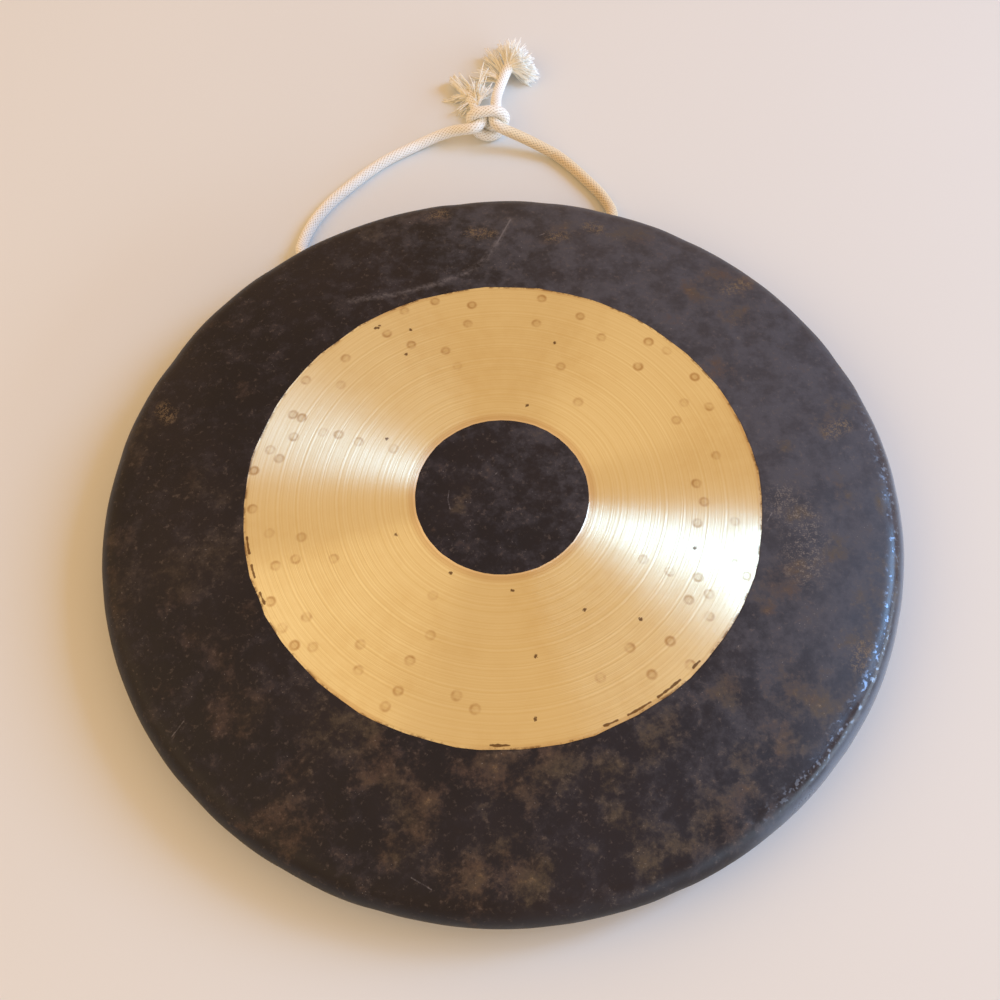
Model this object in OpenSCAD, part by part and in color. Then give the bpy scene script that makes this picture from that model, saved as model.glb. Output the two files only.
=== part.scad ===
// A tam tam gong: a round bronze gong with a turned-back rim and a braided hanging cord.
// Millimetres, Z up. The gong lies face up. The origin is the centre of the rim's back edge,
// +Z is the face side, and +Y is the top of the gong when it hangs.
// The cord is one rope: a run behind the face between two holes in the rim, two strands outside
// it that meet in a knot, and two frayed tails.

/* [Gong] */
// Diameter over the widest part of the rim
gong_d = 400; // [300:10:500]
// Height from the rim's back edge to the middle of the face
gong_h = 44; // [42:1:60]
// How much lower the face would be at the full diameter than in the middle
face_drop = 14; // [6:1:16]
// Thickness of the bronze sheet
sheet_t = 1.8; // [1:0.1:3]
// Outer radius of the bend between the face and the rim
bend_r = 12; // [8:1:14]
// Lean of the rim inwards, in degrees from upright
rim_lean = 15; // [5:1:18]

/* [Cord holes] */
// Diameter of each cord hole in the rim
hole_d = 9; // [8:0.5:11]
// Height of the cord holes above the rim's back edge
hole_z = 10; // [8:1:12]
// Angle of each cord hole from the top of the gong, in degrees
hole_angle = 26; // [22:1:28]

/* [Cord] */
// Diameter of the braided cord
cord_d = 6.5; // [5:0.5:6.5]
// Distance outside the full diameter at which the loop swings
swing_offset = 4; // [4:0.5:8]
// Gap between the run behind the face and the swinging strands, past the cord's own radius
swing_gap = 0.6; // [0.4:0.1:1.5]

/* [Knot and tassels] */
// Width of the knot
knot_d = 28; // [20:1:32]
// Height of the knot
knot_h = 24; // [18:1:28]
// Length of the long tail's frayed tassel
long_tassel_l = 10; // [8:1:18]
// Radius of the long tassel at its loose end
long_tassel_r = 10; // [5:1:11]
// Length of the short tail's frayed tassel
short_tassel_l = 14; // [8:1:24]
// Radius of the short tassel at its loose end
short_tassel_r = 6.5; // [4:0.5:8]

/* [Hidden] */

gong_r = gong_d / 2;
cord_r = cord_d / 2;
// The routes below are drawn for a gong of this radius, and spread with the gong's own
route_gong_r = 200;
spread = gong_r / route_gong_r;
// The curve of the face: nearly flat in the middle, falling faster towards the rim
face_power = 4;
face_steps = 14;
bend_steps = 12;
// Slope of the face where it runs into the bend, in degrees
bend_in_angle = atan(face_power * face_drop / gong_r * pow((gong_r - bend_r) / gong_r, face_power - 1));
bend_in_r = gong_r - bend_r + bend_r * sin(bend_in_angle);
bend_centre_r = gong_r - bend_r;
bend_centre_z = face_z(bend_in_r) - bend_r * cos(bend_in_angle);
// Radii at which the loop swings and at which the run behind the face ends
swing_r = gong_r + swing_offset;
inner_run_r = swing_r - cord_r - swing_gap;
cord_sides = 10;

// Points of the cord, measured with the gong lying on its back edge
left_route = [
    [-91, 193.5, 7.5], [-90.3, 200.5, 4.3], [-87.7, 208, 3.3], [-82.7, 217, 3.3], [-76.5, 225, 3.3],
    [-70, 232, 3.3], [-62.5, 238.5, 3.3], [-54.5, 245, 3.3], [-46, 251.5, 3.3], [-36, 258, 3.3],
    [-27, 262.5, 3.3], [-14, 268.2, 3.3], [-4.5, 271.5, 4.6], [4, 272.5, 7], [12, 270, 11],
    [19, 266, 14.5]
];
right_route = [
    [91.5, 193.5, 7.5], [92, 200.5, 4.3], [90.5, 207.5, 3.3], [87.5, 215, 3.3], [83, 223, 3.3],
    [78, 231.5, 3.3], [72, 240.5, 3.5], [65, 248.5, 4.3], [57.5, 253.7, 6], [49.5, 258, 9],
    [41.5, 261.5, 12.3], [35, 265, 14.5]
];
// From the left hole to the middle; the other half is its mirror image
inner_half_route = [
    [-81.5, 165.5, 9.2], [-74, 158.5, 7.4], [-62, 153.5, 5.4], [-46, 151, 4.1], [-30, 149.6, 3.4],
    [-15, 149, 3.3], [0, 149, 3.3]
];
long_tail_route = [
    [33.5, 278, 14], [34.5, 283, 13], [35.5, 291, 9.5], [38, 301, 7], [42.5, 310.5, 7.5], [48, 319, 9.5]
];
short_tail_route = [
    [25, 279, 8], [23, 285, 5.8], [21.8, 293, 4.8], [21, 301, 5.2]
];
knot_at = [28, 270];
// Level and sideways direction of each tassel's axis, in degrees: lift, then turn from +X
long_tassel_turn = [8, 30];
short_tassel_turn = [8, 114];

// Height of the face's outer surface at radius r
function face_z(r) = gong_h - face_drop * pow(r / gong_r, face_power);

// The gong's section: t is how far the curve lies inside the outer surface
function section(t) =
    let (
        face = [for (i = [0 : face_steps - 1]) let (r = bend_in_r * i / face_steps) [r, face_z(r) - t]],
        bend = [for (i = [0 : bend_steps])
            let (a = 90 - bend_in_angle - (90 - bend_in_angle + rim_lean) * i / bend_steps)
            [bend_centre_r + (bend_r - t) * cos(a), bend_centre_z + (bend_r - t) * sin(a)]],
        foot = bend[bend_steps]
    )
    concat(face, bend, [[foot[0] - foot[1] * tan(rim_lean), 0]]);

function reversed(list) = [for (i = [len(list) - 1 : -1 : 0]) list[i]];
function unit(v) = v / norm(v);
function spread_out(route) = [for (p = route) [p[0] * spread, p[1] * spread, p[2]]];
function mirrored(route) = [for (p = route) [-p[0], p[1], p[2]]];

// A point at radius r in line with the left (side -1) or right (side 1) cord hole
function at_hole(side, r) = [side * r * sin(hole_angle), r * cos(hole_angle), hole_z];

// The cord's direction at point i of a route
function heading(route, i) = unit(route[min(i + 1, len(route) - 1)] - route[max(i - 1, 0)]);

// The ring of points round point i of a route
function cord_ring(route, i, r) =
    let (
        along = heading(route, i),
        side = unit(cross(along, [0, 0, 1])),
        up = cross(side, along)
    )
    [for (k = [0 : cord_sides - 1])
        let (a = 90 + 360 * k / cord_sides) route[i] + r * (side * cos(a) + up * sin(a))];

// A round cord along a route, closed at both ends
module cord_tube(route, r = cord_r) {
    last = len(route) - 1;
    rings = [for (i = [0 : last]) each cord_ring(route, i, r)];
    walls = [for (i = [0 : last - 1], k = [0 : cord_sides - 1])
        let (
            a = i * cord_sides + k,
            b = i * cord_sides + (k + 1) % cord_sides
        )
        each [[a, b, b + cord_sides], [a, b + cord_sides, a + cord_sides]]];
    start_cap = [reversed([for (k = [0 : cord_sides - 1]) k])];
    end_cap = [[for (k = [0 : cord_sides - 1]) last * cord_sides + k]];
    polyhedron(points = rings, faces = concat(walls, start_cap, end_cap), convexity = 6);
}

// A frayed end: a cone that opens from the cord's own width to a rounded brush
module tassel(route, turn, length, end_r) {
    translate(spread_out(route)[len(route) - 1])
        rotate([0, 90 - turn[0], turn[1]]) {
            cylinder(h = length, r1 = cord_r, r2 = end_r, $fn = 48);
            translate([0, 0, length]) intersection() {
                sphere(r = end_r, $fn = 48);
                cylinder(h = end_r, r = end_r, $fn = 48);
            }
        }
}

module gong() {
    color("#3a302c") difference() {
        rotate_extrude($fn = 180) polygon(concat(section(0), reversed(section(sheet_t))));
        for (side = [-1, 1])
            rotate([0, 0, 90 - side * hole_angle])
                translate([gong_r - 3 * bend_r, 0, hole_z])
                    rotate([0, 90, 0]) cylinder(h = 4 * bend_r, d = hole_d, $fn = 48);
    }
}

module cord_inner_run() {
    half = concat([at_hole(-1, inner_run_r), at_hole(-1, gong_r - 9)], spread_out(inner_half_route));
    other_half = reversed([for (i = [0 : len(half) - 2]) mirrored(half)[i]]);
    color("#d8cdb6") cord_tube(concat(half, other_half));
}

module cord_left_strand() {
    color("#e6e0d2") cord_tube(concat([at_hole(-1, swing_r)], spread_out(left_route)));
}

module cord_right_strand() {
    color("#d2b68a") cord_tube(concat([at_hole(1, swing_r)], spread_out(right_route)));
}

// The knot's lump, with its middle at half its height
module knot() {
    steps = 12;
    color("#dccfb4") translate([knot_at[0] * spread, knot_at[1] * spread, knot_h / 2])
        rotate_extrude($fn = 48) polygon([for (i = [0 : steps])
            let (a = -90 + 180 * i / steps) [knot_d / 2 * cos(a), knot_h / 2 * sin(a)]]);
}

module long_tail() {
    color("#efe8da") cord_tube(spread_out(long_tail_route));
}

module short_tail() {
    color("#dccfb4") cord_tube(spread_out(short_tail_route));
}

module long_tassel() {
    color("#f4f1ea") tassel(long_tail_route, long_tassel_turn, long_tassel_l, long_tassel_r);
}

module short_tassel() {
    color("#f4f1ea") tassel(short_tail_route, short_tassel_turn, short_tassel_l, short_tassel_r);
}

gong();
cord_inner_run();
cord_left_strand();
cord_right_strand();
knot();
long_tail();
short_tail();
long_tassel();
short_tassel();
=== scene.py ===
"""Looks of the tam tam gong: a hammered bronze gong lying face up, with its braided hanging cord.

Metres, in the CAD frame: +Z out of the face, +Y to the top of the gong, origin in the middle of
the rim's back edge. Tables of places on the object are in millimetres.
"""
import math
from functools import cached_property

import bpy
import numpy as np
from mathutils import Matrix, Vector, noise


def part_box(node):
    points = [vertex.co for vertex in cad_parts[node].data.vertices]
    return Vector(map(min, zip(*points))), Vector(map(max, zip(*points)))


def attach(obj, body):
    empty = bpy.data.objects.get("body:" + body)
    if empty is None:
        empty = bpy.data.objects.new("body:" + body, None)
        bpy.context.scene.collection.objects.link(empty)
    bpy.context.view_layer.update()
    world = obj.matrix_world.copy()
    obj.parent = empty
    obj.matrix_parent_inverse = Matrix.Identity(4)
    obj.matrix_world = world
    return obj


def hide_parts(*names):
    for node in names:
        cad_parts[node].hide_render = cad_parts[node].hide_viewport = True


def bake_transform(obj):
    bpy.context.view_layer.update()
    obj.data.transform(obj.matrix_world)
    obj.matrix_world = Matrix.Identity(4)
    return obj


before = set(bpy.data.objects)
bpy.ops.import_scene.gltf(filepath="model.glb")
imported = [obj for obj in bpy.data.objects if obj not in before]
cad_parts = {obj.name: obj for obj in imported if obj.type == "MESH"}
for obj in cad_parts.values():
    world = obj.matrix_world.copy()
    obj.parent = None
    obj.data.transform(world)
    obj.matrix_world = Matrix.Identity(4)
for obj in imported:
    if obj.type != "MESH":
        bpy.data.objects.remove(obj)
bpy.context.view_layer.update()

MM = 0.001

# The gong, as in the CAD model
GONG_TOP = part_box("gong")[1]
GONG_R = GONG_TOP.x
FACE_Z = GONG_TOP.z
FACE_DROP = 14 * MM
FACE_POWER = 4
SHEET_T = 1.8 * MM
BEND_R = 12 * MM
RIM_LEAN = math.radians(15)
HOLE_R = 4.5 * MM
HOLE_Z = 10 * MM
HOLE_ANGLE = math.radians(26)
# The scraped ring's edges, and how much lower it lies than the dark skin
DARK_R = 42.3 * MM
GOLD_R = 126.9 * MM
SCRAPE_DEPTH = 0.12 * MM

# The cord, as in the CAD model
CORD_D = 6.5 * MM
CORD_R = CORD_D / 2
HOLE_MOUTH_R = 204 * MM
INSIDE_HOLE_R = 196.6 * MM
INNER_TURN_R = GONG_R - 9 * MM

# The camera: above the near edge, turned a little round the gong
VIEW_TURN = -6.4
VIEW_ELEVATION = 62.33
VIEW_DISTANCE = 635.67 * MM
VIEW_ROLL = 1.52
LENS = 46.8
LENS_SHIFT = (-0.0013, -0.0050)


# ---------- camera

def around(azimuth, elevation, distance, target):
    """A matrix that looks at target from a distance; azimuth 0 is the camera's own side."""
    turn = Matrix.Rotation(math.radians(VIEW_TURN + azimuth), 4, "Z")
    tilt = Matrix.Rotation(math.radians(90 - elevation), 4, "X")
    back = Matrix.Translation((0, 0, distance))
    return Matrix.Translation(target) @ turn @ tilt @ back


def link(obj):
    """Puts an object in the scene and returns it."""
    bpy.context.scene.collection.objects.link(obj)
    return obj


def make_camera():
    """The camera that sees the whole gong and its cord."""
    data = bpy.data.cameras.new("camera")
    data.sensor_width = 36
    data.lens = LENS
    data.shift_x, data.shift_y = LENS_SHIFT
    data.clip_start = 0.01
    data.clip_end = 20
    camera = link(bpy.data.objects.new("camera", data))
    roll = Matrix.Rotation(math.radians(-VIEW_ROLL), 4, "Z")
    camera.matrix_world = around(0, VIEW_ELEVATION, VIEW_DISTANCE, (0, 0, FACE_Z)) @ roll
    bpy.context.scene.camera = camera


# ---------- cord routes

# Route points in millimetres, as in the CAD model
LEFT_ROUTE = [
    (-91, 193.5, 7.5), (-90.3, 200.5, 4.3), (-87.7, 208, 3.3), (-82.7, 217, 3.3), (-76.5, 225, 3.3),
    (-70, 232, 3.3), (-62.5, 238.5, 3.3), (-54.5, 245, 3.3), (-46, 251.5, 3.3), (-36, 258, 3.3),
    (-27, 262.5, 3.3), (-14, 268.2, 3.3), (-4.5, 271.5, 4.6), (4, 272.5, 7), (12, 270, 11),
    (19, 266, 14.5),
]
RIGHT_ROUTE = [
    (91.5, 193.5, 7.5), (92, 200.5, 4.3), (90.5, 207.5, 3.3), (87.5, 215, 3.3), (83, 223, 3.3),
    (78, 231.5, 3.3), (72, 240.5, 3.5), (65, 248.5, 4.3), (57.5, 253.7, 6), (49.5, 258, 9),
    (41.5, 261.5, 12.3), (35, 265, 14.5),
]
INNER_HALF_ROUTE = [
    (-81.5, 165.5, 9.2), (-74, 158.5, 7.4), (-62, 153.5, 5.4), (-46, 151, 4.1), (-30, 149.6, 3.4),
    (-15, 149, 3.3), (0, 149, 3.3),
]
LONG_TAIL_ROUTE = [(35.5, 291, 9.5), (38, 301, 7), (42.5, 310.5, 7.5), (48, 319, 9.5)]
SHORT_TAIL_ROUTE = [(23, 285, 5.8), (21.8, 293, 4.8), (21, 301, 5.2)]
# The knot: the left strand turns once round both strands and tucks under its own turn.
# Millimetres from the knot's middle, before the cord is pulled tight.
KNOT_AT = (28, 269, 13.5)
KNOT_TURN = [
    (-3.3, -1, 2.5), (-3.3, 5, 1.5), (-1, 10, -1), (5, 11, -2.5), (10.5, 7, -4), (10, 3, -7),
    (5, 0, -9.8), (-1, -1, -10.2), (-8, 1, -7), (-11.3, 3, 0), (-7, 3, 7), (0, 2, 9.5), (7, 0, 7),
    (11, -2, 2), (8, -3, -3), (3, -1, -4.2), (0, 4, -4.5), (-2, 9, -6.5),
]
KNOT_STRAIGHT = [(2.8, -4.8, 3.2), (3.3, 0, 2.5), (4, 6, 3.5), (6, 12, 1)]
# How far from the knot's middle the cord is free to move while it is pulled tight
KNOT_FREE_R = 44 * MM
# Points of a smooth curve between two given ones, and the spacing of a centreline's points
CURVE_POINTS = 24
LINE_STEP = 2 * MM
# Rounds of tightening, and how often the lengths and contacts are put right in each
TIGHTEN_ROUNDS = 150
CONTACT_ROUNDS = 4
# Points of one cord with at most this many steps between them don't push each other away
NEAR_STEPS = 6
# The share of an uneven bend, a wrong length and an overlap that is put right at a time
SMOOTHING = 0.3
LENGTH_PULL = 0.45
OVERLAP_PUSH = 0.6


def at_hole(side, r):
    """The point at radius r in line with the left (side -1) or right (side 1) cord hole."""
    return (side * r * math.sin(HOLE_ANGLE), r * math.cos(HOLE_ANGLE), HOLE_Z)


def metres(points, origin=(0, 0, 0)):
    """Points in metres, from ones in millimetres measured from an origin."""
    return [tuple(MM * (p + o) for p, o in zip(point, origin)) for point in points]


def smooth_line(points, step):
    """Points a step apart along a smooth curve through the given ones."""
    p = np.array(points, float)
    p = np.vstack([2 * p[0] - p[1], p, 2 * p[-1] - p[-2]])
    t = np.linspace(0, 1, CURVE_POINTS, endpoint=False)[:, None]
    dense = []
    for a, b, c, d in zip(p, p[1:], p[2:], p[3:]):
        dense.append(0.5 * (2 * b + (c - a) * t + (2 * a - 5 * b + 4 * c - d) * t**2
                            + (3 * b - a - 3 * c + d) * t**3))
    return spaced(np.vstack([*dense, p[-2:-1]]), step)


def spaced(line, step):
    """Points about a step apart along a line."""
    along = distance_along(line)
    count = max(2, int(round(along[-1] / step)) + 1)
    at = np.linspace(0, along[-1], count)
    return np.stack([np.interp(at, along, line[:, k]) for k in range(3)], axis=-1)


def distance_along(line):
    """Each point's distance along its line."""
    return np.concatenate([[0], np.cumsum(np.linalg.norm(np.diff(line, axis=0), axis=1))])


def tighten(lines):
    """Pulls the cord tight round the knot: it bends smoothly, keeps its length, stays a diameter
    away from itself and lies on the floor."""
    points = np.vstack(lines)
    which = np.repeat(range(len(lines)), [len(line) for line in lines])
    knot = np.array(metres([KNOT_AT])[0])
    near_knot = np.linalg.norm(points - knot, axis=1) < KNOT_FREE_R
    past_knot = points[:, 1] > knot[1] + CORD_D
    free = (near_knot | past_knot)[:, None].astype(float)
    first, second = np.triu_indices(len(points), 1)
    apart = (which[first] != which[second]) | (second - first > NEAR_STEPS)
    pairs = first[apart], second[apart]
    joined = np.flatnonzero(which[1:] == which[:-1])
    middle = np.array([k for k in range(1, len(points) - 1) if which[k - 1] == which[k + 1]])
    for _ in range(TIGHTEN_ROUNDS):
        bend = np.zeros_like(points)
        bend[middle] = (points[middle - 1] + points[middle + 1]) / 2 - points[middle]
        points += SMOOTHING * bend * free
        for _ in range(CONTACT_ROUNDS):
            keep_length(points, joined, free)
            keep_apart(points, pairs, free)
            points[:, 2] = np.maximum(points[:, 2], CORD_R)
    return [points[which == k] for k in range(len(lines))]


def keep_length(points, joined, free):
    """Moves the free points so that each is a step from the next one."""
    vector = points[joined + 1] - points[joined]
    length = np.linalg.norm(vector, axis=1)[:, None]
    pull = LENGTH_PULL * (1 - LINE_STEP / length) * vector
    np.add.at(points, joined, pull * free[joined])
    np.add.at(points, joined + 1, -pull * free[joined + 1])


def keep_apart(points, pairs, free):
    """Pushes free points apart where the cord would overlap itself."""
    first, second = pairs
    vector = points[second] - points[first]
    gap = np.linalg.norm(vector, axis=1)
    near = gap < CORD_D
    push = OVERLAP_PUSH * (1 - CORD_D / (gap[near] + 1e-9))[:, None] * vector[near]
    moved, count = np.zeros_like(points), np.zeros((len(points), 1))
    for ends, way in ((first[near], push), (second[near], -push)):
        np.add.at(moved, ends, way)
        np.add.at(count, ends, 1)
    points += moved / np.maximum(count, 1) * free


def cord_lines():
    """Centrelines of the left cord with the knot's turn, the right cord and the run behind."""
    left = [*metres(LEFT_ROUTE), *metres(KNOT_TURN, KNOT_AT), *metres(SHORT_TAIL_ROUTE)]
    right = [*metres(RIGHT_ROUTE), *metres(KNOT_STRAIGHT, KNOT_AT), *metres(LONG_TAIL_ROUTE)]
    left = [at_hole(-1, INSIDE_HOLE_R), at_hole(-1, HOLE_MOUTH_R), *left]
    right = [at_hole(1, INSIDE_HOLE_R), at_hole(1, HOLE_MOUTH_R), *right]
    left, right = tighten([smooth_line(left, LINE_STEP), smooth_line(right, LINE_STEP)])
    half = [at_hole(-1, INSIDE_HOLE_R), at_hole(-1, INNER_TURN_R), *metres(INNER_HALF_ROUTE)]
    other_half = [(-x, y, z) for x, y, z in half[-2::-1]]
    return left, right, smooth_line(half + other_half, LINE_STEP)


# ---------- cord meshes

STRANDS = 10
BRAID_PITCH = 2.7 * MM
# How deep the braid's hollows are, as a share of the cord's radius, and the part of it that stands proud
BRAID_DEPTH = 0.11
BRAID_PROUD = 0.3
CORD_SIDES = 44
RING_STEP = 0.34 * MM
HIDDEN_RING_STEP = RING_STEP * 1.6
# How far the painted tan shade on a cord reaches from its hole, and how far it takes to fade
TAN_SHADE_TO = 125 * MM
TAN_SHADE_FADE = 15 * MM


def carried_frames(line):
    """A unit direction and two sideways unit vectors at each point, carried along without twist."""
    along = np.gradient(line, axis=0)
    along /= np.linalg.norm(along, axis=1)[:, None]
    side = np.zeros_like(line)
    start = np.cross(along[0], (0, 0, 1))
    side[0] = start / np.linalg.norm(start)
    for k in range(1, len(line)):
        v = side[k - 1] - along[k] * (side[k - 1] @ along[k])
        side[k] = v / np.linalg.norm(v)
    return along, side, np.cross(side, along)


def braid_height(turn, distance):
    """Height, 0 to 1, of a braid of crossing strands at a turn round the cord (0 to 1).

    Each strand is rounded across, and flatter along its length."""
    a = turn * STRANDS + distance / BRAID_PITCH
    b = turn * STRANDS - distance / BRAID_PITCH
    over = (np.floor(a) + np.floor(b)) % 2 == 0
    across = np.where(over, a, b) % 1
    length = np.where(over, b, a) % 1
    return np.sin(math.pi * across) ** 0.7 * (0.45 + 0.55 * np.sin(math.pi * length) ** 0.5)


def mesh_piece(name, points, faces, attributes=None):
    """A smooth-shaded mesh in the scene, with numbers at its points for its material to read."""
    mesh = bpy.data.meshes.new(name)
    mesh.from_pydata([tuple(p) for p in points], [], faces)
    for key, values in (attributes or {}).items():
        layer = mesh.attributes.new(key, "FLOAT", "POINT")
        layer.data.foreach_set("value", np.asarray(values, np.float32).ravel())
    mesh.update()
    mesh.shade_smooth()
    return link(bpy.data.objects.new(name, mesh))


def tube_faces(rings, sides, start=0):
    """Faces of a closed tube of rings, whose points are numbered from start."""
    faces = []
    for i in range(rings - 1):
        a = start + i * sides
        for k in range(sides):
            n = (k + 1) % sides
            faces.append((a + k, a + n, a + sides + n, a + sides + k))
    faces.append(tuple(start + k for k in reversed(range(sides))))
    faces.append(tuple(start + (rings - 1) * sides + k for k in range(sides)))
    return faces


def braided_cord(name, line, material, step=RING_STEP, tan_shade_to=0.0):
    """A cord with its braid in relief, along a smooth line; returns the cord and its fine line.

    It gets a painted tan shade from its start up to the distance given last."""
    every_second = np.vstack([line[:-1:2], line[-1:]])
    fine = smooth_line(every_second, step)
    distance = distance_along(fine)
    _, side, up = carried_frames(fine)
    turn = np.arange(CORD_SIDES) / CORD_SIDES
    height = braid_height(turn[None, :], distance[:, None])
    radius = CORD_R * (1 - BRAID_DEPTH * (1 - height)) * (1 + BRAID_DEPTH * BRAID_PROUD)
    points = (fine[:, None] + radius[..., None] * outward(side, up, turn)).reshape(-1, 3)
    painted_tan_shade = np.clip((tan_shade_to - distance) / TAN_SHADE_FADE, 0, 1)[:, None] + 0 * height
    attributes = {"height": height, "painted_tan_shade": painted_tan_shade}
    cord = mesh_piece(name, points, tube_faces(len(fine), CORD_SIDES), attributes)
    cord.data.materials.append(material)
    return cord, fine


def outward(side, up, turn):
    """Unit vectors pointing out of a line, for each of its points and each turn (0 to 1)."""
    angle = 2 * math.pi * turn
    return side[:, None] * np.cos(angle)[None, :, None] + up[:, None] * np.sin(angle)[None, :, None]


# ---------- frayed ends

YARN_R = 0.3 * MM
YARN_SIDES = 5
YARN_RINGS = 9
# How much a yarn thins towards its tip
YARN_TAPER = 0.3
# How far the yarns of one bundle spread, in degrees
BUNDLE_SPREAD = 2.5

# Bundles of yarns at the frayed ends. Each row: root in millimetres; heading, its spread, and the
# lowest and highest lift in degrees; shortest and longest length in millimetres; number; waviness.
# First the open brush on the long tail, then the yarns that stick out beside it
LONG_END = [
    ((47.5, 318, 9), 28, 70, (-20, 20), (14, 18), 75, 0.06),
    ((47.5, 318, 9), 28, 60, (15, 62), (13, 17), 70, 0.06),
    ((47.5, 318, 9), 92, 10, (-5, 20), (20, 25), 8, 0.06),
    ((44, 312, 8), 106, 10, (-5, 15), (22, 27), 6, 0.06),
    ((41, 309, 7), 128, 14, (-5, 15), (12, 17), 8, 0.12),
    ((41, 310, 6), 150, 14, (-5, 15), (11, 17), 5, 0.15),
]
# The loose yarns round the root of the short tail's tuft
SHORT_END_AT = (21, 300.5, 5.4)
SHORT_END = [
    (SHORT_END_AT, 165, 12, (-8, 6), (9, 15), 7, 0.12),
    ((21.5, 297, 5), 225, 16, (-5, 10), (9, 13), 7, 0.12),
    ((22, 294, 5), 250, 20, (-5, 10), (7, 11), 5, 0.12),
    (SHORT_END_AT, 82, 14, (10, 50), (7, 11), 6, 0.1),
    ((24, 298, 6), 40, 30, (5, 50), (6, 12), 12, 0.2),
    ((24, 291, 7), 70, 30, (5, 40), (8, 16), 10, 0.2),
]
# The tuft itself: its heading in degrees, and the number and half width of its straight bundles
TUFT_HEADING = 114
TUFT_BUNDLES = 44
TUFT_HALF_WIDTH = 3.3


def direction_of(azimuth, elevation):
    """A unit vector, from angles in degrees."""
    a, e = math.radians(azimuth), math.radians(elevation)
    return np.array([math.cos(a) * math.cos(e), math.sin(a) * math.cos(e), math.sin(e)])


def yarn(start, direction, length, droop, wave, rng):
    """A thin yarn's points: from start along direction, drooping and waving towards its tip."""
    t = np.linspace(0, 1, YARN_RINGS)[:, None]
    bend = rng.normal(size=3) * wave * length
    line = start + direction * length * t + bend * t**2 + np.array([0, 0, -droop]) * length * t**2
    line[:, 2] = np.maximum(line[:, 2], YARN_R)
    return line


def fan(rng, root, heading, spread, lift, length, count, wave, fibres=5, droop=0.2, root_r=1.5 * MM):
    """Bundles of yarns from a root in metres, fanned out round a heading; angles are in degrees."""
    lines = []
    for _ in range(count):
        azimuth = heading + rng.uniform(-spread, spread)
        elevation = rng.uniform(*lift)
        reach = rng.uniform(*length)
        start = np.array(root) + rng.uniform(-1, 1, 3) * root_r
        curl = rng.normal(size=3) * wave
        for _ in range(fibres):
            turned = azimuth + rng.normal() * BUNDLE_SPREAD
            lifted = elevation + rng.normal() * BUNDLE_SPREAD
            way = direction_of(turned, lifted) + curl
            base = start + rng.normal(size=3) * YARN_R
            lines.append(yarn(base, way, reach * rng.uniform(0.9, 1.04), droop, wave, rng))
    return lines


def brush(name, lines, material):
    """One mesh of many thin yarns, given as lines of YARN_RINGS points."""
    turn = np.arange(YARN_SIDES) / YARN_SIDES
    along = np.linspace(0, 1, YARN_RINGS)
    radius = YARN_R * (1 - YARN_TAPER * along**2)
    points, faces = [], []
    for k, line in enumerate(lines):
        _, side, up = carried_frames(line)
        points.append((line[:, None] + radius[:, None, None] * outward(side, up, turn)).reshape(-1, 3))
        faces += tube_faces(YARN_RINGS, YARN_SIDES, k * YARN_RINGS * YARN_SIDES)
    tips = np.tile(np.repeat(along, YARN_SIDES), len(lines))
    piece = mesh_piece(name, np.vstack(points), faces, {"tip": tips})
    piece.data.materials.append(material)
    return piece


def loose_yarns(rows, rng):
    """The yarns of a table of bundles."""
    lines = []
    for root, heading, spread, lift, length, count, wave in rows:
        reach = [MM * end for end in length]
        lines += fan(rng, metres([root])[0], heading, spread, lift, reach, count, wave)
    return lines


def straight_tuft(rng):
    """The straight white tuft on the short tail, as wide as the cord."""
    middle = np.array(metres([SHORT_END_AT])[0])
    across = direction_of(TUFT_HEADING - 90, 0)
    lines = []
    for _ in range(TUFT_BUNDLES):
        aside = across * rng.uniform(-TUFT_HALF_WIDTH, TUFT_HALF_WIDTH) * MM
        root = middle + aside + np.array([0, 0, rng.uniform(-2, 2.5) * MM])
        lines += fan(rng, root, TUFT_HEADING, 3, (-2, 10), (16 * MM, 21 * MM), count=1, wave=0.02,
                     fibres=4, droop=0.1, root_r=0.3 * MM)
    return lines


# ---------- gong mesh

GONG_SEED = 11
TURNS = 576
THETA = np.arange(TURNS) * 2 * math.pi / TURNS
# The ring's edges as scraped: radius, number of short cuts, their wobble, and how far aside they lie
DARK_EDGE = (DARK_R + 0.5 * MM, 60, 0.1 * MM, 0.3 * MM)
GOLD_EDGE = (GOLD_R + 0.4 * MM, 64, 0.45 * MM, 0.4 * MM)
# How far outside the ring the rows of points still follow its edge
EDGE_FADE = 25 * MM
# How far the edge between the wall's last row and the rounded foot lies above the floor
LIP = 0.6 * MM
# Rows of points just inside and outside an edge of the ring
EDGE_ROWS = np.array([-0.6, -0.2, 0.2, 0.6]) * MM
# How far a cloud's colour reaches, as a share of its size
CLOUD_REACH = 1.15
# The round bars that cut the cord holes: sides, and the radii between which they lie
CUTTER_SIDES = 48
CUTTER_ENDS = (GONG_R - 20 * MM, GONG_R + 8 * MM)
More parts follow.
